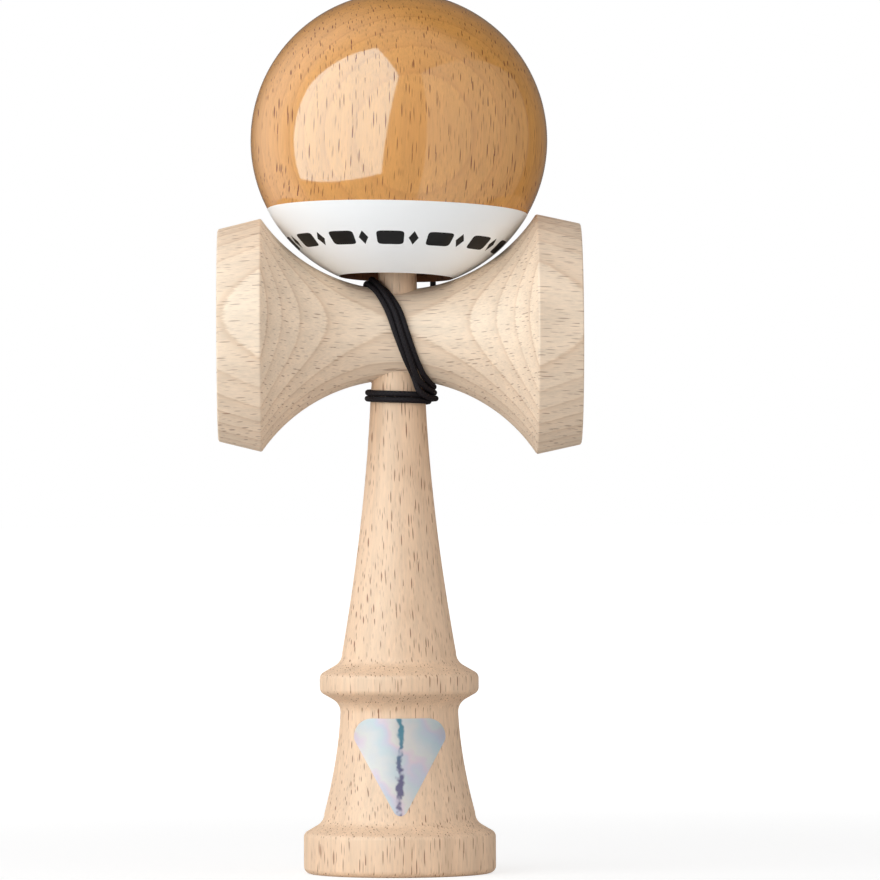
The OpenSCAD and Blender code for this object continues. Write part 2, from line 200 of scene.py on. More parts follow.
BASE_Z = FOOT_H - EDGE_R + flank_rise(BASE_R, FOOT_R)
WAIST_Z = COLLAR_Z - COLLAR_BAND / 2 - flank_rise(WAIST_R, COLLAR_R)
STEM_Z = COLLAR_Z + COLLAR_BAND / 2 + flank_rise(STEM_R, COLLAR_R)


def base_curve():
    """Points of the hollow base from the foot up to its waist."""
    pull = Vector((WAIST_R + BASE_PULL, between(BASE_Z, WAIST_Z, PULL_UP)))
    return curve(Vector((BASE_R, BASE_Z)), pull, Vector((WAIST_R, WAIST_Z)))


def ken_outline():
    """Outline of the ken from the bottom of its foot's cup round to the tip of the spike."""
    bowl = cup(FOOT_CUP_D, FOOT_CUP_DEPTH)
    lip = corner(bowl[-2], bowl[-1], Vector((FOOT_R, 0)), FOOT_LIP)
    stem_pull = Vector((between(NECK_R, STEM_R, STEM_PULL), between(STEM_Z, NECK_Z, PULL_UP)))
    collar_low = COLLAR_Z - COLLAR_BAND / 2
    collar_high = COLLAR_Z + COLLAR_BAND / 2
    return (
        bowl[:-2] + lip
        + arc((FOOT_R - EDGE_R, EDGE_R), EDGE_R, -90, 0)
        + arc((FOOT_R - EDGE_R, FOOT_H - EDGE_R), EDGE_R, 0, 90 - SLOPE)
        + arc((BASE_R + COVE_R, BASE_Z), COVE_R, 270 - SLOPE, 180 + BASE_LEAN)
        + base_curve()
        + arc((WAIST_R + COVE_R, WAIST_Z), COVE_R, 180, 90 + SLOPE)[1:]
        + arc((COLLAR_R - EDGE_R, collar_low), EDGE_R, SLOPE - 90, 0)
        + arc((COLLAR_R - EDGE_R, collar_high), EDGE_R, 0, 90 - SLOPE)
        + arc((STEM_R + COVE_R, STEM_Z), COVE_R, 270 - SLOPE, 180 + STEM_LEAN)
        + curve(Vector((STEM_R, STEM_Z)), stem_pull, Vector((NECK_R, NECK_Z)))
        + [Vector((SPIKE_R, SARADO_TOP))]
        + arc((0, KEN_H - TIP_R), TIP_R, TIP_LEAN, 90)
    )


def flank(x):
    """Radius of the sarado's hollow flank at a distance from the ken's axis."""
    return SARADO_WAIST_R + FLANK_R - math.sqrt(FLANK_R ** 2 - x ** 2)


def flank_x(radius):
    """Distance from the ken's axis at which the flank reaches a radius."""
    return math.sqrt(FLANK_R ** 2 - (SARADO_WAIST_R + FLANK_R - radius) ** 2)


def taper_r(z):
    """Radius of the ken's straight taper at a height."""
    return NECK_R + (SPIKE_R - NECK_R) * (z - NECK_Z) / (SARADO_TOP - NECK_Z)


def sarado_half(reach, ridge_r, mouth_r, cup_d, cup_depth):
    """Outline of one side of the sarado from its waist round to the bottom of its cup."""
    ridge = Vector((ridge_r, flank_x(ridge_r)))
    mouth = Vector((mouth_r, reach))
    inside = Vector((cup_d / 2, reach))
    places = [ridge.y * k / CURVE_STEPS for k in range(CURVE_STEPS)]
    slope = [Vector((flank(x), x)) for x in places]
    bowl = [Vector((p.x, reach - p.y)) for p in cup(cup_d, cup_depth)]
    return (
        slope
        + corner(slope[-1], ridge, mouth, LIP_R)
        + corner(ridge, mouth, inside, LIP_R)
        + corner(mouth, inside, bowl[-2], LIP_R)
        + bowl[-4::-1]
    )


def sarado_outline():
    """Outline of the sarado along its own axis, from the small cup to the big one."""
    small = sarado_half(SMALL_REACH, SMALL_RIDGE_R, SMALL_MOUTH_R, SMALL_CUP_D, SMALL_CUP_DEPTH)
    big = sarado_half(BIG_REACH, BIG_RIDGE_R, BIG_MOUTH_R, BIG_CUP_D, BIG_CUP_DEPTH)
    return [Vector((p.x, -p.y)) for p in small[:0:-1]] + big


def tama_outline():
    """Closed outline of the ball in its own frame, and its points on the paint and on the bare ball."""
    rim = -math.degrees(math.acos(RIM_R / TAMA_R))
    border = -math.degrees(math.asin(PAINT_DEPTH / TAMA_R))
    top = math.degrees(math.acos(TOP_DISH_R / TAMA_R))
    point_depth = (HOLE_R - CHAMBER_R) / math.tan(math.radians(DRILL_POINT / 2))
    painted = arc((0, 0), TAMA_R + PAINT_T, rim, border, BALL_STEPS // 3)
    bare = arc((0, 0), TAMA_R, border, top, BALL_STEPS)
    bore = [
        Vector((STRING_HOLE_R, TAMA_R - STRING_HOLE_R)),
        Vector((STRING_HOLE_R, CHAMBER_TOP)),
        Vector((CHAMBER_R, CHAMBER_TOP)),
        Vector((CHAMBER_R, HOLE_TOP)),
        Vector((HOLE_R, HOLE_TOP - point_depth)),
        Vector((HOLE_R, -RIM_DEPTH + RIM_R - HOLE_R)),
    ]
    return painted + bare + bore, len(painted), len(bare)


# Meshes


def to_object(name, build, *materials):
    """Makes an object from a finished bmesh, with its materials."""
    mesh = bpy.data.meshes.new(name)
    build.to_mesh(mesh)
    build.free()
    for material in materials:
        mesh.materials.append(material)
    made = bpy.data.objects.new(name, mesh)
    bpy.context.scene.collection.objects.link(made)
    return made


def smooth_shade(made, angle=32):
    """Shades an object smooth, with sharp edges where it turns by more than an angle in degrees."""
    made.data.polygons.foreach_set("use_smooth", [True] * len(made.data.polygons))
    made.data.set_sharp_from_angle(angle=math.radians(angle))


def lathe(outline, segments=LATHE_SEGMENTS, closed=False):
    """Turns an outline round the Z axis; faces carry the number of their stretch of the outline."""
    build = bmesh.new()
    stretch = build.faces.layers.int.new("stretch")
    angles = [2 * math.pi * k / segments for k in range(segments)]
    rings = []
    for point in outline:
        if point.x < 1e-7:
            rings.append([build.verts.new((0, 0, point.y))])
            continue
        ring = []
        for a in angles:
            ring.append(build.verts.new((point.x * math.cos(a), point.x * math.sin(a), point.y)))
        rings.append(ring)
    pairs = list(zip(rings, rings[1:] + rings[:1] if closed else rings[1:]))
    for number, (low, high) in enumerate(pairs):
        for k in range(segments):
            n = k + 1
            corners = [low[k % len(low)], low[n % len(low)], high[n % len(high)], high[k % len(high)]]
            face = build.faces.new(list(dict.fromkeys(corners)))
            face[stretch] = number
    return build


def cut(made, *cutters):
    """Cuts the cutters' shapes out of an object and removes them."""
    for cutter in cutters:
        carve = made.modifiers.new("cut", "BOOLEAN")
        carve.object = cutter
        carve.operation = "DIFFERENCE"
        carve.solver = "EXACT"
    bpy.context.view_layer.update()
    shaped = made.evaluated_get(bpy.context.evaluated_depsgraph_get())
    mesh = bpy.data.meshes.new_from_object(shaped)
    made.modifiers.clear()
    made.data = mesh
    for cutter in cutters:
        bpy.data.objects.remove(cutter)


def drill(name, radius, start, end):
    """A round cutter along Y at the height of the sarado's axis."""
    low, high = min(start, end), max(start, end)
    outline = [Vector((0, low)), Vector((radius, low)), Vector((radius, high)), Vector((0, high))]
    build = lathe(outline, COARSE_SEGMENTS)
    turn = Matrix.Translation((0, 0, SARADO_Z)) @ Matrix.Rotation(math.radians(-90), 4, "X")
    bmesh.ops.transform(build, matrix=turn, verts=build.verts)
    return to_object(name, build)


def along(points):
    """Length along a line up to each of its points."""
    lengths = [0.0]
    for a, b in zip(points, points[1:]):
        lengths.append(lengths[-1] + (b - a).length)
    return lengths


def smooth(points, steps):
    """Smooth line through points, with a number of steps from each to the next."""
    line = []
    last = len(points) - 1
    for i in range(last):
        a, b = points[max(i - 1, 0)], points[i]
        c, d = points[i + 1], points[min(i + 2, last)]
        for k in range(steps):
            t = k / steps
            bend = 2 * a - 5 * b + 4 * c - d + t * (3 * (b - c) + d - a)
            line.append(b + t / 2 * (c - a + t * bend))
    return line + [points[last]]


def even(points, spacing):
    """The same line with its points at an even distance."""
    lengths = along(points)
    count = max(2, round(lengths[-1] / spacing))
    line = []
    place = 0
    for k in range(count + 1):
        target = lengths[-1] * k / count
        while place < len(points) - 2 and lengths[place + 1] < target:
            place += 1
        span = max(lengths[place + 1] - lengths[place], 1e-9)
        line.append(points[place].lerp(points[place + 1], (target - lengths[place]) / span))
    return line


def tube_into(build, points, radius, sides=TUBE_SIDES):
    """Adds a closed tube along points, with braid coordinates: turns round it and mm along it."""
    layer = build.loops.layers.uv.verify()
    lengths = along(points)
    normal = Vector((1, 0, 0))
    angles = [2 * math.pi * k / sides for k in range(sides)]
    rings = []
    for i, point in enumerate(points):
        way = (points[min(i + 1, len(points) - 1)] - points[max(i - 1, 0)]).normalized()
        normal = (normal - normal.dot(way) * way).normalized()
        side = way.cross(normal)
        circle = []
        for a in angles:
            circle.append(build.verts.new(point + radius * (math.cos(a) * normal + math.sin(a) * side)))
        rings.append(circle)
    for i in range(len(rings) - 1):
        for k in range(sides):
            n = (k + 1) % sides
            face = build.faces.new((rings[i][k], rings[i][n], rings[i + 1][n], rings[i + 1][k]))
            places = ((k, i), (k + 1, i), (k + 1, i + 1), (k, i + 1))
            for loop, (turn, ring) in zip(face.loops, places):
                loop[layer].uv = (turn / sides, lengths[ring] / MM)
    build.faces.new(rings[0][::-1])
    build.faces.new(rings[-1])


# Route of the string: close to that of the solids, with the turns drawn tight

# Over the sarado a point has an x, and a turn from the top over the front in degrees
SLANT_FRONT_INNER = (
    (-0.0043, 0), (-0.00215, 30), (0.00025, 60), (0.0019, 90), (0.0035, 118), (0.005, 140),
)
SLANT_FRONT_OUTER = (
    (-0.006, 0), (-0.0043, 30), (-0.00215, 60), (-0.0004, 90), (0.0014, 119), (0.0029, 142),
)
SLANT_BACK_INNER = (
    (-0.0023, 229), (-0.00335, 249), (-0.00385, 266), (-0.00415, 290), (-0.0042, 318), (-0.0041, 342),
)
SLANT_BACK_OUTER = (
    (-0.0052, 224), (-0.00585, 248), (-0.0064, 266), (-0.0067, 290), (-0.00675, 318), (-0.0064, 342),
)
RISE_BACK = ((0.0061, 218), (0.0066, 230), (0.007, 243))
# Round the ken it has a turn from the front to the right in degrees, and a rise over the taper's start
SLANT_KEN_INNER = (
    (66, 0.0037), (84, 0.0032), (107, 0.0031), (132, 0.0029),
    (158, 0.0026), (174, 0.0027), (184, 0.0033),
)
SLANT_KEN_OUTER = (
    (35, 0.0024), (53, 0.0012), (78, 0.0008), (104, 0.0005),
    (140, -0.0001), (175, -0.0003), (212, 0.0006),
)
DROP_KEN = ((166, 0.0031), (183, 0.0026))
RISE_KEN = ((84, 0.0032), (105, 0.0031), (124, 0.0036))
# Here a third value says which share of a layer the string has climbed
CLIMB_KEN = ((176, -0.0005, 0.3), (192, -0.0003, 1.0))
# Where it runs free of the wood, a point has its place in the frame
DROP_ROUTE = (
    (0.0012, 0.0124, 0.1072), (0.0028, 0.012, 0.1044),
    (0.0039, 0.0098, 0.1016), (0.0035, 0.007, 0.0991),
)
CLIMB_FREE = ((-0.0034, 0.0075, 0.0962), (-0.0044, 0.0079, 0.0987))
# Where the turns close up, the middle one lies in the groove between the other two
RIDE_BACK = (0, 0, 0, 0, 0, 0.0005)
RIDE_FRONT = (0.001, 0.0007, 0.0004, 0.0005, 0.0008, 0.00115)
# The string goes from the sarado to the ken and back in a wider bow, and bows out behind the ken
LEAVE = 0.0003
RETURN = 0.00155
BEHIND = 0.00035
# How far each point behind the ken has moved in towards the next lane
LANE_DROP = (0, 0, 0, 0.25, 0.5, 0.75, 1)
LEAD_START = Vector((0.0073, 0.0134, 0.111))
# Up the ball a point has an x, and a turn up from the height of the ball's middle in degrees
LEAD_OVER = (
    (0.0075, -35), (0.0074, -26), (0.0071, -16), (0.0067, -6), (0.0062, 4), (0.0056, 14),
    (0.0049, 25), (0.0042, 36), (0.0034, 48), (0.0026, 60), (0.0019, 71),
)
# Then it lies back from the hole in the ball's top, and up from there
LEAD_TAIL = ((0.0036, 0.0013), (0.0018, 0.0011), (0.0005, 0.0003), (0, -0.0008))
LEAD_GAP = 0.0003
# The lower end of the lead, up to this distance behind the axis, is made with the winding
LEAD_SPLIT_Y = 0.0215
NECK_TURNS = 2
NECK_TOP = 0.00175
NECK_PITCH = 0.00122
NECK_FROM = 200
NECK_UNTIL = 160
NECK_EVERY = 30
SLANT_TURNS = 3
# Drawn tight, the string lies close to the wood and to itself
LAYER_1 = 0.00063
LAYER_STEP = 0.00125
LAYER_2 = LAYER_1 + LAYER_STEP
ROUTE_STEPS = 8

TAMA_FRAME = (
    Matrix.Translation((TAMA_SHIFT, 0, SEAT_Z))
    @ Matrix.Rotation(math.radians(TAMA_ROLL), 4, "Y")
    @ Matrix.Rotation(math.radians(-TAMA_LEAN), 4, "X")
    @ Matrix.Translation((0, 0, RIM_DEPTH))
)


def on_sarado(x, degrees, height):
    """Point over the sarado at x, turned from its top over its front."""
    radius = flank(x) + height
    turn = math.radians(degrees)
    return Vector((x, -radius * math.sin(turn), SARADO_Z + radius * math.cos(turn)))


def on_ken(degrees, rise, height):
    """Point over the ken's taper, turned from the front to the right, at a rise over its start."""
    radius = taper_r(NECK_Z + rise) + height
    turn = math.radians(degrees)
    return Vector((radius * math.sin(turn), -radius * math.cos(turn), NECK_Z + rise))


def on_tama(x, degrees):
    """Point behind the ball at x, turned up from the height of its middle."""
    middle = TAMA_FRAME.translation
    radius = math.sqrt((TAMA_R + STRING_D / 2 + LEAD_GAP) ** 2 - (x - middle.x) ** 2)
    turn = math.radians(degrees)
    return Vector((x, middle.y + radius * math.cos(turn), middle.z + radius * math.sin(turn)))


def mixed(inner, outer, lane):
    """Pairs of values between two lists, at a lane from 0 to 1."""
    return [(between(a[0], b[0], lane), between(a[1], b[1], lane)) for a, b in zip(inner, outer)]


def slant_lane(number):
    """Lane of a slanting turn: 1 at the outer side, 0 at the inner."""
    return 1 - number / (SLANT_TURNS - 1)


def slant_behind(number):
    """Points of a slanting turn behind the ken, where it moves in by one lane."""
    points = []
    for inner, outer, drop in zip(SLANT_KEN_INNER, SLANT_KEN_OUTER, LANE_DROP):
        lane = slant_lane(number + drop)
        height = LAYER_2 + (BEHIND if drop else 0)
        turn = between(inner[0], outer[0], lane)
        rise = between(inner[1], outer[1], lane)
        points.append(on_ken(turn, rise, height))
    return points


def winding_route():
    """Points from the hole in the sarado's back to where the lead begins."""
    start = Vector((0, STRING_EXIT_Y, SARADO_Z))
    points = [start + Vector((0, STRING_D, 0))]
    points += [Vector(p) for p in DROP_ROUTE]
    points += [on_ken(a, rise, LAYER_1) for a, rise in DROP_KEN]
    for a in range(NECK_FROM, 360 * NECK_TURNS + NECK_UNTIL + 1, NECK_EVERY):
        points.append(on_ken(a, NECK_TOP - NECK_PITCH * (a - 360) / 360, LAYER_1))
    points += [on_ken(a, rise, LAYER_1 + layer * LAYER_STEP) for a, rise, layer in CLIMB_KEN]
    points += [Vector(p) for p in CLIMB_FREE]
    for number in range(SLANT_TURNS):
        lane = slant_lane(number)
        middle = 1 - abs(2 * lane - 1)
        over = mixed(SLANT_BACK_INNER, SLANT_BACK_OUTER, lane)
        over += mixed(SLANT_FRONT_INNER, SLANT_FRONT_OUTER, lane)
        for (x, a), ride in zip(over, RIDE_BACK + RIDE_FRONT):
            points.append(on_sarado(x, a, LAYER_1 + middle * ride))
        points[-len(over)] = on_sarado(*over[0], LAYER_1 + RETURN)
        points[-1] = on_sarado(*over[-1], LAYER_1 + middle * RIDE_FRONT[-1] + LEAVE)
        if number < SLANT_TURNS - 1:
            points += slant_behind(number)
    points.append(on_ken(*SLANT_KEN_INNER[0], LAYER_2))
    points += [on_ken(a, rise, LAYER_2) for a, rise in RISE_KEN]
    points += [on_sarado(x, a, LAYER_1) for x, a in RISE_BACK]
    way = (on_tama(*LEAD_OVER[0]) - LEAD_START).normalized()
    points.append(LEAD_START - STRING_D * way)
    return [start] + smooth(points, ROUTE_STEPS)


def lead_route():
    """Points from the winding's end up the back of the ball and into the hole at its top."""
    first = on_tama(*LEAD_OVER[0])
    points = [LEAD_START.lerp(first, t) for t in (0, 0.25, 0.5, 0.75)]
    points += [on_tama(x, a) for x, a in LEAD_OVER]
    points += [TAMA_FRAME @ Vector((0, back, TAMA_R + up)) for back, up in LEAD_TAIL]
    return smooth(points, ROUTE_STEPS) + [TAMA_FRAME @ Vector((0, 0, LEAD_END))]


# Node materials


def add(tree, kind, inputs=None, **settings):
    """Adds a shader node, sets its settings, and sets or links its inputs."""
    made = tree.nodes.new("ShaderNode" + kind)
    for name, value in settings.items():
        setattr(made, name, value)
    for key, value in (inputs or {}).items():
        if isinstance(value, bpy.types.NodeSocket):
            tree.links.new(value, made.inputs[key])
        else:
            made.inputs[key].default_value = value
    return made


def calc(tree, operation, *values):
    """Result of a math node."""
    return add(tree, "Math", dict(enumerate(values)), operation=operation).outputs[0]


def dot(tree, vector, axis):
    """Distance of a point along an axis, in millimetres."""
    scaled = Vector(axis).normalized() / MM
    return add(tree, "VectorMath", {0: vector, 1: scaled}, operation="DOT_PRODUCT").outputs["Value"]


def step(tree, value, low, high):
    """Smooth step: 0 below low and 1 above high, or the other way round."""
    inputs = {"Value": value, "From Min": low, "From Max": high}
    return add(tree, "MapRange", inputs, interpolation_type="SMOOTHSTEP").outputs["Result"]


def noise(tree, vector, scale, detail=2.0, roughness=0.5):
    """Value of a noise texture, from 0 to 1."""
    inputs = {"Vector": vector, "Scale": scale, "Detail": detail, "Roughness": roughness}
    return add(tree, "TexNoise", inputs).outputs["Fac"]


def mix(tree, factor, a, b, blend="MIX"):
    """Colour between a and b."""
    made = add(tree, "Mix", data_type="RGBA", blend_type=blend)
    for socket, value in zip((made.inputs[0], made.inputs[6], made.inputs[7]), (factor, a, b)):
        if isinstance(value, bpy.types.NodeSocket):
            tree.links.new(value, socket)
        else:
            socket.default_value = value
    return made.outputs[2]


def srgb(red, green, blue):
    """Colour for a shader from values of 0 to 255 as a screen shows them."""
    parts = [v / 255 for v in (red, green, blue)]
    linear = [v / 12.92 if v <= 0.04045 else ((v + 0.055) / 1.055) ** 2.4 for v in parts]
    return (*linear, 1.0)


def new_material(name, **constants):
    """A material with its shader's constant values set on the shader's own sockets."""
    material = bpy.data.materials.new(name)
    material.use_nodes = True
    tree = material.node_tree
    shader = tree.nodes["Principled BSDF"]
    for key, value in constants.items():
        shader.inputs[key.replace("_", " ")].default_value = value
    return material, tree, shader


def link(tree, shader, **sockets):
    """Links results to the shader's sockets."""
    for key, value in sockets.items():
        tree.links.new(value, shader.inputs[key.replace("_", " ")])


def bump(tree, height, strength, distance):
    """Normal that a height gives."""
    inputs = {"Height": height, "Strength": strength, "Distance": distance}
    return add(tree, "Bump", inputs).outputs["Normal"]


# Beech: sizes across, deep and along the grain, in millimetres

RING_STEP = 3.15
RAY_CELL = (0.8, 1.2, 3.5)
RAY_MARK = (0.15, 0.6, 2.4)
FAINT_CELL = (0.6, 1.2, 2.4)
FAINT_MARK = (0.12, 0.45, 1.2)
FAINT_SHARE = 0.34
# How quickly the fibres and the wide streaks change, for each millimetre
FIBRE_RATE = (2.6, 2.2, 0.12)
STREAK_RATE = (0.4, 0.4, 0.018)


def spread(tree, operation, axes, sizes):
    """Point with each of its axes multiplied or divided by a size."""
    parts = {k: calc(tree, operation, axis, size) for k, (axis, size) in enumerate(zip(axes, sizes))}
    return add(tree, "CombineXYZ", parts).outputs[0]


def flecks(tree, axes, deep, cell, mark):
    """Short thin marks along the grain, from 0 to 1.

    cell is their mean spacing and mark half the size of the largest; deep stretches both in depth."""
    smallest = 0.45
    palest = 0.35
    fade = 0.45
    cell, mark = [(across, depth * deep, length) for across, depth, length in (cell, mark)]
    place = spread(tree, "DIVIDE", axes, cell)
    cells = add(tree, "TexVoronoi", {"Vector": place, "Scale": 1.0}).outputs
    off = add(tree, "VectorMath", {0: place, 1: cells["Position"]}, operation="SUBTRACT").outputs[0]
    shape = [spacing / half for spacing, half in zip(cell, mark)]
    off = add(tree, "VectorMath", {0: off, 1: shape}, operation="MULTIPLY").outputs[0]
    reach = add(tree, "VectorMath", {0: off}, operation="LENGTH").outputs["Value"]
    size = add(tree, "SeparateColor", {0: cells["Color"]}).outputs[0]
    inside = calc(tree, "DIVIDE", reach, calc(tree, "MULTIPLY_ADD", size, 1 - smallest, smallest))
    weight = calc(tree, "MULTIPLY_ADD", size, 1 - palest, palest)
    return calc(tree, "MULTIPLY", step(tree, inside, 1.0, fade), weight)


def beech(name, grain, ring_normal, ring_offset, tones, rings, rays, deep=1.0, **constants):
    """Beech with growth rings across ring_normal, and with rays and fine fibres along the grain.

    tones are the pale wood, the late wood at the end of each ring, and the rays. rings and rays say how
    much of the late wood and of the rays shows, and deep how far the rays go across the rings. Returns
    the material's parts, a height for its bump, and the rays."""
    material, tree, shader = new_material(name, **constants)
    place = add(tree, "TexCoord").outputs["Object"]
    normal = Vector(ring_normal).normalized()
    fibre_way = Vector(grain)
    fibre_way = (fibre_way - fibre_way.dot(normal) * normal).normalized()
    depth = dot(tree, place, normal)
    length = dot(tree, place, fibre_way)
    sway = noise(tree, place, 90.0, 1.0)
    across = calc(tree, "MULTIPLY_ADD", sway, 0.4, dot(tree, place, fibre_way.cross(normal)))
    axes = (across, depth, length)

    # Fibres: fine streaks along the grain
    fibre = noise(tree, spread(tree, "MULTIPLY", axes, FIBRE_RATE), 1.0, 3.0, 0.65)

    # Growth rings: each gets slowly darker and ends in a thin line that the fibres make ragged
    wander = noise(tree, place, 30.0, 2.0)
    shift = calc(tree, "MULTIPLY_ADD", wander, 1.7, calc(tree, "MULTIPLY", fibre, 0.55))
    ring = calc(tree, "DIVIDE", calc(tree, "ADD", depth, shift), RING_STEP)
    ring = calc(tree, "ADD", ring, ring_offset)
    part = calc(tree, "FRACT", ring)
    late = calc(tree, "MULTIPLY", calc(tree, "POWER", part, 1.8), step(tree, part, 1.0, 0.9))
    line = calc(tree, "MULTIPLY", step(tree, part, 0.8, 0.92), step(tree, part, 1.0, 0.92))
    count = calc(tree, "FLOOR", ring)
    each = add(tree, "TexWhiteNoise", {"W": count}, noise_dimensions="1D").outputs["Value"]
    dark = calc(tree, "MULTIPLY_ADD", line, 0.4, calc(tree, "MULTIPLY", late, 0.6))
    dark = calc(tree, "MULTIPLY", dark, calc(tree, "MULTIPLY_ADD", each, 0.5 * rings, 0.7 * rings))

    # Rays: dark flecks, and many fainter ones between them
    strong = flecks(tree, axes, deep, RAY_CELL, RAY_MARK)
    faint = flecks(tree, axes, deep, FAINT_CELL, FAINT_MARK)
    fleck = calc(tree, "MAXIMUM", strong, calc(tree, "MULTIPLY", faint, FAINT_SHARE))

    # Light and dark: the fibres, wide faint streaks, and a slow change from place to place
    streak = noise(tree, spread(tree, "MULTIPLY", axes, STREAK_RATE), 1.0, 2.0)
    light = calc(tree, "MULTIPLY_ADD", fibre, 0.4, calc(tree, "MULTIPLY_ADD", streak, 0.3, 0.65))
    cloud = calc(tree, "MULTIPLY_ADD", noise(tree, place, 70.0, 3.0), 0.12, 0.94)
    light = calc(tree, "MULTIPLY", light, cloud)
    grey = add(tree, "CombineColor", {0: light, 1: light, 2: light}).outputs[0]
    tone = mix(tree, 1.0, mix(tree, dark, tones[0], tones[1]), grey, "MULTIPLY")
    colour = mix(tree, calc(tree, "MULTIPLY", fleck, rays), tone, tones[2])
    link(tree, shader, Base_Color=colour)
    height = calc(tree, "SUBTRACT", fibre, calc(tree, "MULTIPLY", fleck, 0.3))
    return material, tree, shader, height, fleck


def raw_beech(name, grain, ring_normal, ring_offset, pale, rings, rays, deep):
    """Bare, fine-sanded beech."""
    tones = (pale, srgb(190, 146, 106), srgb(126, 66, 28))
    material, tree, shader, height, _ = beech(
        name, grain, ring_normal, ring_offset, tones, rings, rays, deep,
        Roughness=0.6, Specular_IOR_Level=0.36)
    link(tree, shader, Normal=bump(tree, height, 0.22, 0.00008))
    return material


def lacquered_beech():
    """Amber beech under a thick clear gloss lacquer that shines less in the flecks."""
    tones = (srgb(214, 149, 67), srgb(160, 86, 22), srgb(106, 46, 8))
    material, tree, shader, height, fleck = beech(
        "lacquered_beech", (0, 0, 1), (0.1, -0.99, -0.05), 0.85, tones, 0.24, 1.0, 1.3,
        Roughness=0.5, Specular_IOR_Level=0.1, Coat_Roughness=0.07, Coat_IOR=1.6)
    gloss = calc(tree, "MULTIPLY_ADD", fleck, -0.65, 1.0)
    link(tree, shader, Coat_Weight=gloss, Normal=bump(tree, height, 0.08, 0.00005))
    return material


def shaded_bore_wood():
    """Bare wood inside the ball, painted dark to stand for the shade inside the hole."""
    tones = (srgb(112, 72, 46), srgb(84, 52, 32), srgb(56, 34, 22))
    material, tree, shader, height, _ = beech(
        "shaded_bore_wood", (0, 0, 1), (0, -1, 0), 0.2, tones, 0.5, 0.6, Roughness=0.8, Specular_IOR_Level=0.1)
    link(tree, shader, Normal=bump(tree, height, 0.2, 0.00008))
    return material


# The printed band: cells round the ball, depth under the ball's middle and half its height, in mm

BAND_CELLS = 13
BAND_DEPTH = 21.5
BAND_HALF = 1.25


def white_paint():
    """White gloss paint with a printed band of plain bars and lozenges."""
    material, tree, shader = new_material(
        "white_paint", Roughness=0.4, Specular_IOR_Level=0.1, Coat_Weight=0.2, Coat_Roughness=0.05)
    place = add(tree, "TexCoord").outputs["Object"]
    across = dot(tree, place, (1, 0, 0))
    front = dot(tree, place, (0, -1, 0))
    height = dot(tree, place, (0, 0, 1))
    turns = calc(tree, "DIVIDE", calc(tree, "ARCTAN2", across, front), 2 * math.pi)
    part = calc(tree, "FRACT", calc(tree, "MULTIPLY_ADD", turns, BAND_CELLS, 0.5))
    rise = calc(tree, "DIVIDE", calc(tree, "ADD", height, BAND_DEPTH), BAND_HALF)
    rise = calc(tree, "ABSOLUTE", rise)

    def mark(middle, half, power):
        """1 inside a mark: power 1 gives a lozenge, a high one a bar."""
        offset = calc(tree, "DIVIDE", calc(tree, "SUBTRACT", part, middle), half)
        offset = calc(tree, "ABSOLUTE", offset)
        total = calc(tree, "ADD", calc(tree, "POWER", offset, power), calc(tree, "POWER", rise, power))
        return step(tree, total, 1.04, 0.96)

    bars = mark(0.36, 0.27, 6.0)
    lozenges = mark(0.82, 0.1, 1.0)
    ink = calc(tree, "MAXIMUM", bars, lozenges)
    cloud = noise(tree, place, 90.0, 2.0)
    white = mix(tree, cloud, srgb(250, 253, 255), srgb(252, 254, 255))
    link(tree, shader, Base_Color=mix(tree, ink, white, srgb(14, 13, 14)))
    peel = noise(tree, place, 700.0, 1.0)
    link(tree, shader, Normal=bump(tree, peel, 0.02, 0.00005))
    return material


# Yarns of the braid that cross each way round the string, and the length of a crossing in mm

BRAID_YARNS = 4
BRAID_LENGTH = 0.8


def braided_string():
    """Black braided string: crossing yarns from the tube's own coordinates."""
    material, tree, shader = new_material("braided_string", Roughness=0.7, Specular_IOR_Level=0.12)
    place = add(tree, "UVMap").outputs["UV"]
    parts = add(tree, "SeparateXYZ", {0: place})
    turn = calc(tree, "MULTIPLY", parts.outputs[0], 2 * math.pi * BRAID_YARNS)
    run = calc(tree, "MULTIPLY", parts.outputs[1], 2 * math.pi / BRAID_LENGTH)
    left = calc(tree, "SINE", calc(tree, "ADD", run, turn))
    right = calc(tree, "SINE", calc(tree, "SUBTRACT", run, turn))
    yarn = calc(tree, "MAXIMUM", left, right)
    yarn = calc(tree, "MULTIPLY_ADD", yarn, 0.5, 0.5)
    fuzz = noise(tree, add(tree, "TexCoord").outputs["Object"], 3000.0, 2.0)
    tone = calc(tree, "MULTIPLY", yarn, calc(tree, "MULTIPLY_ADD", fuzz, 0.6, 0.6))
    link(tree, shader, Base_Color=mix(tree, tone, srgb(7, 4, 5), srgb(31, 23, 25)))
    link(tree, shader, Normal=bump(tree, yarn, 0.6, 0.00012))
    return material


def bead_wood():
    """Stained hardwood of the bead."""
    tones = (srgb(150, 100, 55), srgb(110, 68, 34), srgb(80, 48, 24))
    material, tree, shader, height, _ = beech(
        "bead_wood", (0, 0, 1), (0, 1, 0), 0.1, tones, 0.6, 0.4, Roughness=0.4)
    link(tree, shader, Normal=bump(tree, height, 0.2, 0.00005))
    return material


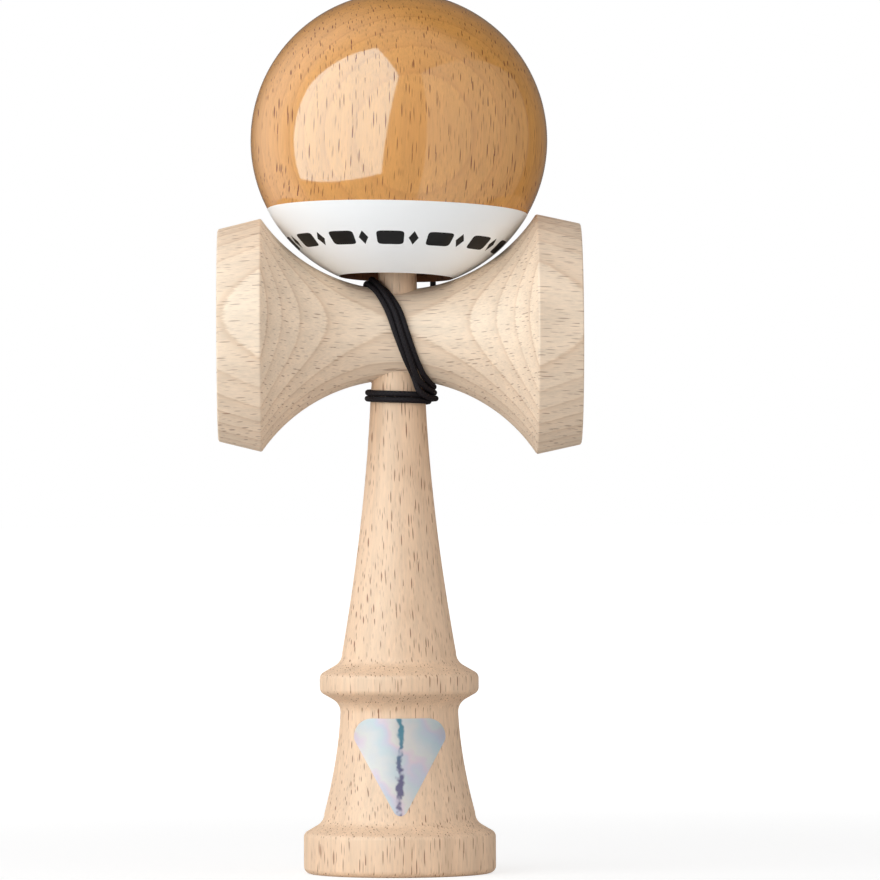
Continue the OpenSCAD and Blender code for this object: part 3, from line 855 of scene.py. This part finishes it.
def foil():
    """Silver foil with a soft play of pale colours, a painted bluish reflection towards its right side,
    and one broken bluish streak.
    """
    material, tree, shader = new_material("foil", Metallic=0.035, Roughness=0.4)
    place = add(tree, "TexCoord").outputs["Object"]
    across = dot(tree, place, (1, 0, 0))
    height = dot(tree, place, (0, 0, 1))
    warp = noise(tree, place, 160.0, 3.0)
    slant = calc(tree, "MULTIPLY_ADD", across, 0.45, calc(tree, "MULTIPLY", height, 0.32))
    phase = calc(tree, "MULTIPLY_ADD", warp, 1.6, calc(tree, "MULTIPLY", slant, 0.22))
    ramp = add(tree, "ValToRGB", {"Fac": calc(tree, "FRACT", phase)})
    stops = (
        (0.0, (244, 243, 244)), (0.3, (232, 240, 244)), (0.5, (236, 234, 246)),
        (0.65, (248, 234, 243)), (0.82, (248, 246, 243)), (1.0, (244, 243, 244)),
    )
    elements = ramp.color_ramp.elements
    elements[0].color = srgb(*stops[0][1])
    elements[1].color = srgb(*stops[-1][1])
    for position, colour in stops[1:-1]:
        elements.new(position).color = srgb(*colour)
    # Painted reflection: the label's right side is tinted pale blue for the light it reflects there
    right_painted_reflection = step(tree, calc(tree, "ADD", across, calc(tree, "MULTIPLY", warp, 5.0)), 4.0, 13.0)
    right_painted_reflection = calc(tree, "MULTIPLY", right_painted_reflection, 0.3)
    sheen = mix(tree, right_painted_reflection, ramp.outputs["Color"], srgb(176, 218, 236))
    broken = calc(tree, "MULTIPLY_ADD", noise(tree, place, 420.0, 2.0), 3.0, -1.5)
    off = calc(tree, "ABSOLUTE", calc(tree, "ADD", across, broken))
    streak = step(tree, off, 0.75, 0.2)
    streak = calc(tree, "MULTIPLY", streak, step(tree, noise(tree, place, 300.0, 2.0), 0.36, 0.5))
    blue = mix(tree, step(tree, height, 20.0, 29.0), srgb(92, 70, 132), srgb(40, 150, 178))
    colour = mix(tree, calc(tree, "MULTIPLY", streak, 0.85), sheen, blue)
    link(tree, shader, Base_Color=colour)
    link(tree, shader, Normal=bump(tree, warp, 0.06, 0.0001))
    return material


# Camera

CAMERA_PLACE = Vector((-0.0105, -1.515, 0.0874))
CAMERA_AIM = Vector((0.00845, 0, 0.0874))
CAMERA_LENS = 306.8
CAMERA_ROLL = 0.25
CAMERA_SENSOR = 36
CAMERA_FAR = 20

camera_data = bpy.data.cameras.new("camera")
camera_data.lens = CAMERA_LENS
camera_data.sensor_width = CAMERA_SENSOR
camera_data.clip_end = CAMERA_FAR
camera = bpy.data.objects.new("camera", camera_data)
look = (CAMERA_AIM - CAMERA_PLACE).to_track_quat("-Z", "Y").to_matrix().to_4x4()
roll = Matrix.Rotation(math.radians(-CAMERA_ROLL), 4, "Z")
camera.matrix_world = Matrix.Translation(CAMERA_PLACE) @ look @ roll
bpy.context.scene.collection.objects.link(camera)
bpy.context.scene.camera = camera

# String

string_material = braided_string()


def string_piece(name, body, node, *lines):
    """A piece of string along one or more lines, standing for a CAD node."""
    build = bmesh.new()
    for line in lines:
        tube_into(build, even(line, TUBE_STEP), STRING_D / 2)
    made = to_object(name, build, string_material)
    smooth_shade(made, 60)
    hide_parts(node)
    if body:
        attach(made, body)
    return made


# Radius of a knot's wraps round its axis
WRAP_R = 1.03 * STRING_D


def wraps(turns, pitch):
    """Line of a stopper knot's wraps round the Z axis, upwards from the knot's lower end."""
    steps = round(turns * WRAP_STEPS)
    points = []
    for k in range(steps + 1):
        a = 2 * math.pi * turns * k / steps
        rise = STRING_D / 2 + pitch * turns * k / steps
        points.append(Vector((WRAP_R * math.cos(a), WRAP_R * math.sin(a), rise)))
    return points


winding_line = winding_route()
lead_line = lead_route()
split = next(k for k, p in enumerate(lead_line) if p.y > LEAD_SPLIT_Y)
lower_line = even(winding_line + lead_line[: split + 1], TUBE_STEP)
upper_line = even(lead_line[split:], TUBE_STEP)

winding = string_piece("winding_string", None, "string_winding", lower_line)
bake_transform(winding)

lead = string_piece("lead_string", None, "string_lead", upper_line)
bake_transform(lead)

knot_low = TAMA_KNOT_TOP - TAMA_KNOT_L
tama_line = [TAMA_FRAME @ Vector((0, 0, z)) for z in (TAMA_KNOT_TOP, LEAD_END)]
string_piece("string_in_ball", "tama_bead", "string_in_tama", tama_line)
tama_wraps = [TAMA_FRAME @ (p + Vector((0, 0, knot_low))) for p in wraps(1.5, STRING_D)]
tama_core = [TAMA_FRAME @ Vector((0, 0, z)) for z in (knot_low, TAMA_KNOT_TOP)]
string_piece("ball_knot", "tama_bead", "tama_knot", tama_core, tama_wraps)

ken_line = [Vector((0, -POCKET_Y, SARADO_Z)), Vector((0, STRING_EXIT_Y, SARADO_Z))]
string_piece("string_in_handle", "ken", "string_in_ken", ken_line)
to_front = Matrix.Translation((0, -POCKET_Y, SARADO_Z)) @ Matrix.Rotation(math.radians(90), 4, "X")
ken_wraps = [to_front @ p for p in wraps(1, KEN_KNOT_L - STRING_D)]
ken_core = [to_front @ Vector((0, 0, z)) for z in (0, KEN_KNOT_L)]
string_piece("handle_knot", "ken", "ken_knot", ken_core, ken_wraps)

# Ken

ken_wood = raw_beech(
    "ken_beech", (0, 0, 1), (0.3, -0.95, 0.0), 0.45, srgb(231, 197, 165), 0.14, 0.95, 0.55)
ken = to_object("handle", lathe(ken_outline()), ken_wood)
pocket = drill("pocket_cutter", POCKET_R, -FOOT_R, -POCKET_Y)
string_hole = drill("hole_cutter", STRING_HOLE_R, -POCKET_Y, FOOT_R)
cut(ken, pocket, string_hole)
smooth_shade(ken)
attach(ken, "ken")
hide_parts("ken")

# Sarado

sarado_build = lathe(sarado_outline())
lay = Matrix.Translation((0, 0, SARADO_Z)) @ Matrix.Rotation(math.radians(90), 4, "Y")
bmesh.ops.transform(sarado_build, matrix=lay, verts=sarado_build.verts)
sarado_wood = raw_beech(
    "sarado_beech", (1, 0, 0), (0, -0.98, 0.19), 0.1, srgb(237, 214, 189), 0.42, 0.6, 1.0)
sarado = to_object("cross_piece", sarado_build, sarado_wood)
bore_low = NECK_Z
bore_high = 2 * SARADO_Z - NECK_Z
bore_outline = [
    Vector((0, bore_low)),
    Vector((taper_r(bore_low) + TAPER_FIT, bore_low)),
    Vector((taper_r(bore_high) + TAPER_FIT, bore_high)),
    Vector((0, bore_high)),
]
bore = to_object("bore_cutter", lathe(bore_outline))
cut(sarado, bore, drill("back_cutter", STRING_HOLE_R, 0, FOOT_R))
smooth_shade(sarado)
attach(sarado, "ken")
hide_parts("sarado")

# Ball, with the lacquer, the paint and the bore's wood, painted dark for the shade in the hole, as its
# materials

PAINT_INDEX = 1
BORE_INDEX = 2

tama_points, painted_points, bare_points = tama_outline()
tama_build = lathe(tama_points, closed=True)
stretch_layer = tama_build.faces.layers.int["stretch"]
for tama_face in tama_build.faces:
    number = tama_face[stretch_layer]
    if number < painted_points:
        tama_face.material_index = PAINT_INDEX
    elif number >= painted_points + bare_points:
        tama_face.material_index = BORE_INDEX
ball = to_object("ball", tama_build, lacquered_beech(), white_paint(), shaded_bore_wood())
smooth_shade(ball)
ball.matrix_world = TAMA_FRAME
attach(ball, "tama")
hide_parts("tama")

# Bead

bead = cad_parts["tama_bead"]
bead.data.materials.clear()
bead.data.materials.append(bead_wood())

# Label


def label_half_width(rise):
    """Half the label's width at a rise over its tip, with a round tip and round top corners."""
    corner_x = LABEL_W / 2 - LABEL_TOP_R
    corner_z = LABEL_H - LABEL_TOP_R
    outline = arc((0, LABEL_TIP_R), LABEL_TIP_R, -90, -30, LABEL_ARC_STEPS)
    outline += arc((corner_x, corner_z), LABEL_TOP_R, -10, 90, LABEL_ARC_STEPS)
    for a, b in zip(outline, outline[1:]):
        if a.y <= rise <= b.y and b.y > a.y:
            return between(a.x, b.x, (rise - a.y) / (b.y - a.y))
    return corner_x


def base_radius(z):
    """Radius of the base at a height."""
    points = base_curve()
    for a, b in zip(points, points[1:]):
        if a.y <= z <= b.y:
            return between(a.x, b.x, (z - a.y) / (b.y - a.y))
    return BASE_R


def label_build():
    """The label as a thin bent sheet on the base."""
    build = bmesh.new()
    grid = []
    for i in range(LABEL_ROWS + 1):
        rise = LABEL_H * (1 - math.cos(math.pi * i / LABEL_ROWS)) / 2
        half = max(label_half_width(rise), 1e-5)
        radius = base_radius(LABEL_Z + rise) + LABEL_OFF
        line = []
        for k in range(LABEL_COLUMNS + 1):
            x = half * (2 * k / LABEL_COLUMNS - 1)
            line.append(build.verts.new((x, -math.sqrt(radius ** 2 - x ** 2), LABEL_Z + rise)))
        grid.append(line)
    for low, high in zip(grid, grid[1:]):
        for k in range(LABEL_COLUMNS):
            build.faces.new((low[k], low[k + 1], high[k + 1], high[k]))
    bmesh.ops.solidify(build, geom=build.faces[:], thickness=-LABEL_T)
    return build


label = to_object("label", label_build(), foil())
smooth_shade(label, 40)
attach(label, "ken")
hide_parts("base_label")

# Floor, world and lights

FLOOR_HALF = 6.0
FLOOR_GREY = (0.8, 0.8, 0.8, 1)
# What the camera sees: a matt grey that keeps the shadow, and a glow that rises away from the object
SEEN_GREY = (0.42, 0.42, 0.42, 1)
SEEN_GLOW = 0.7
GLOW_RISE = 0.25
GLOW_NEAR = 0.1
GLOW_FAR = 0.6
# The white surrounding lights the object less than it shows
WORLD_LIGHT = 0.42


def pale_floor():
    """White for the camera, with the object's shadow kept."""
    material, tree, shader = new_material("pale_floor", Roughness=0.9, Specular_IOR_Level=0.0)
    shader.inputs["Base Color"].default_value = FLOOR_GREY
    seen = add(tree, "LightPath").outputs["Is Camera Ray"]
    place = add(tree, "TexCoord").outputs["Object"]
    reach = add(tree, "VectorMath", {0: place}, operation="LENGTH").outputs["Value"]
    far = step(tree, reach, GLOW_NEAR, GLOW_FAR)
    matt = add(tree, "BsdfDiffuse", {"Color": SEEN_GREY})
    level = calc(tree, "MULTIPLY_ADD", far, GLOW_RISE, SEEN_GLOW)
    glow = add(tree, "Emission", {"Color": (1, 1, 1, 1), "Strength": level})
    pale = add(tree, "AddShader", {0: matt.outputs[0], 1: glow.outputs[0]})
    both = add(tree, "MixShader", {0: seen, 1: shader.outputs[0], 2: pale.outputs[0]})
    tree.links.new(both.outputs[0], tree.nodes["Material Output"].inputs["Surface"])
    return material


floor_build = bmesh.new()
floor_verts = []
for x, y in ((-1, -1), (1, -1), (1, 1), (-1, 1)):
    floor_verts.append(floor_build.verts.new((x * FLOOR_HALF, y * FLOOR_HALF, 0)))
floor_build.faces.new(floor_verts)
floor = to_object("floor", floor_build, pale_floor())
floor.visible_glossy = False

world = bpy.data.worlds.new("studio")
bpy.context.scene.world = world
world.use_nodes = True
sky = world.node_tree
path = add(sky, "LightPath").outputs
direct = calc(sky, "MAXIMUM", path["Is Camera Ray"], path["Is Transmission Ray"])
direct = calc(sky, "MAXIMUM", direct, path["Is Glossy Ray"])
strength = calc(sky, "MULTIPLY_ADD", direct, 1 - WORLD_LIGHT, WORLD_LIGHT)
background = sky.nodes["Background"]
background.inputs["Color"].default_value = (1, 1, 1, 1)
sky.links.new(strength, background.inputs["Strength"])

# Soft boxes: name, place, width, height and brightness

OBJECT_MIDDLE = Vector((0, 0, 0.12))
SOFT_BOXES = (
    ("left_soft_box", (-0.72, -0.62, 0.34), 1.35, 1.2, 2.02),
    ("right_soft_box", (0.95, -0.62, 0.2), 1.1, 0.9, 1.0),
)


def soft_box(name, place, width, height, radiance):
    """A flat soft light that faces the object; its power follows from its size and brightness."""
    data = bpy.data.lights.new(name, "AREA")
    data.shape = "RECTANGLE"
    data.size = width
    data.size_y = height
    data.energy = radiance * math.pi * width * height
    made = bpy.data.objects.new(name, data)
    made.location = place
    made.rotation_euler = (OBJECT_MIDDLE - Vector(place)).to_track_quat("-Z", "Y").to_euler()
    made.visible_glossy = False
    bpy.context.scene.collection.objects.link(made)


for box in SOFT_BOXES:
    soft_box(*box)

# Surfaces that show only in reflections

# Each corner of a pane is a direction from the ball and a distance
LEFT_PANE = (
    ((-0.82, -0.05, 0.52), 1.0), ((-0.22, -0.24, 0.94), 1.6), ((0.0, -0.66, 0.74), 1.3),
    ((-0.23, -0.86, -0.45), 1.45), ((-0.91, 0.0, -0.35), 1.4),
)
RIGHT_PANE = (
    ((0.26, -0.59, 0.76), 1.3), ((0.62, 0.4, 0.36), 1.3), ((0.72, 0.36, -0.36), 1.3),
    ((0.21, -0.66, -0.72), 1.3),
)
LEFT_COLOUR = (0.7, 0.93, 1.0)
RIGHT_COLOUR = (0.8, 0.95, 1.0)
LEFT_GLOW = 6.4
RIGHT_GLOW = 1.9
RIGHT_FAR_GLOW = 0.4
SCREEN_GLOW = 1.75
SCREEN_FAR_GLOW = 0.14
SCREEN_R = 3.0
SCREEN_START = -10
SCREEN_STEPS = 20


def mirrored(name, build, brightness, colour=(1, 1, 1)):
    """A studio surface that shows only in reflections; brightness gives its glow from a point on it."""
    material = bpy.data.materials.new(name)
    material.use_nodes = True
    tree = material.node_tree
    tree.nodes.clear()
    place = add(tree, "TexCoord").outputs["Object"]
    glow = add(tree, "Emission", {"Color": (*colour, 1), "Strength": brightness(tree, place)})
    out = add(tree, "OutputMaterial")
    tree.links.new(glow.outputs[0], out.inputs["Surface"])
    made = to_object(name, build, material)
    made.visible_camera = False
    made.visible_diffuse = False
    made.visible_shadow = False
    made.visible_transmission = False


def fading(tree, place, axis, near, far, bright, dim):
    """A brightness that goes over from bright to dim between two distances along an axis, in mm."""
    share = step(tree, dot(tree, place, axis), near, far)
    return calc(tree, "MULTIPLY_ADD", share, dim - bright, bright)


def pane(name, corners, brightness, colour):
    """A soft box's face, given by the directions of its corners from the ball."""
    build = bmesh.new()
    middle = TAMA_FRAME.translation
    points = [middle + Vector(way).normalized() * distance for way, distance in corners]
    build.faces.new([build.verts.new(point) for point in points])
    bmesh.ops.triangulate(build, faces=build.faces[:])
    mirrored(name, build, brightness, colour)


def left_brightness(tree, place):
    """The left soft box is equally bright all over."""
    return LEFT_GLOW


def right_brightness(tree, place):
    """The right soft box is dimmer at its far side."""
    return fading(tree, place, (1, 1, 0), -300, 1150, RIGHT_GLOW, RIGHT_FAR_GLOW)


def screen_brightness(tree, place):
    """The screen is bright on the left, dark on the right, and white like the room at its edge."""
    level = fading(tree, place, (1.2, 1, -0.1), -1660, 1150, SCREEN_GLOW, SCREEN_FAR_GLOW)
    inward = step(tree, dot(tree, place, (0, 1, 0)), -300, 900)
    return calc(tree, "MULTIPLY_ADD", calc(tree, "SUBTRACT", level, 1.0), inward, 1.0)


pane("left_pane", LEFT_PANE, left_brightness, LEFT_COLOUR)
pane("right_pane", RIGHT_PANE, right_brightness, RIGHT_COLOUR)

# A screen round the back of the object keeps the edges of glossy parts clear against the white
screen_build = lathe(arc((0, 0), SCREEN_R, SCREEN_START, 90, SCREEN_STEPS), COARSE_SEGMENTS)
to_back = Matrix.Rotation(math.radians(-90), 4, "X")
bmesh.ops.transform(screen_build, matrix=to_back, verts=screen_build.verts)
mirrored("dark_screen", screen_build, screen_brightness)

bpy.context.scene.view_settings.view_transform = "Standard"
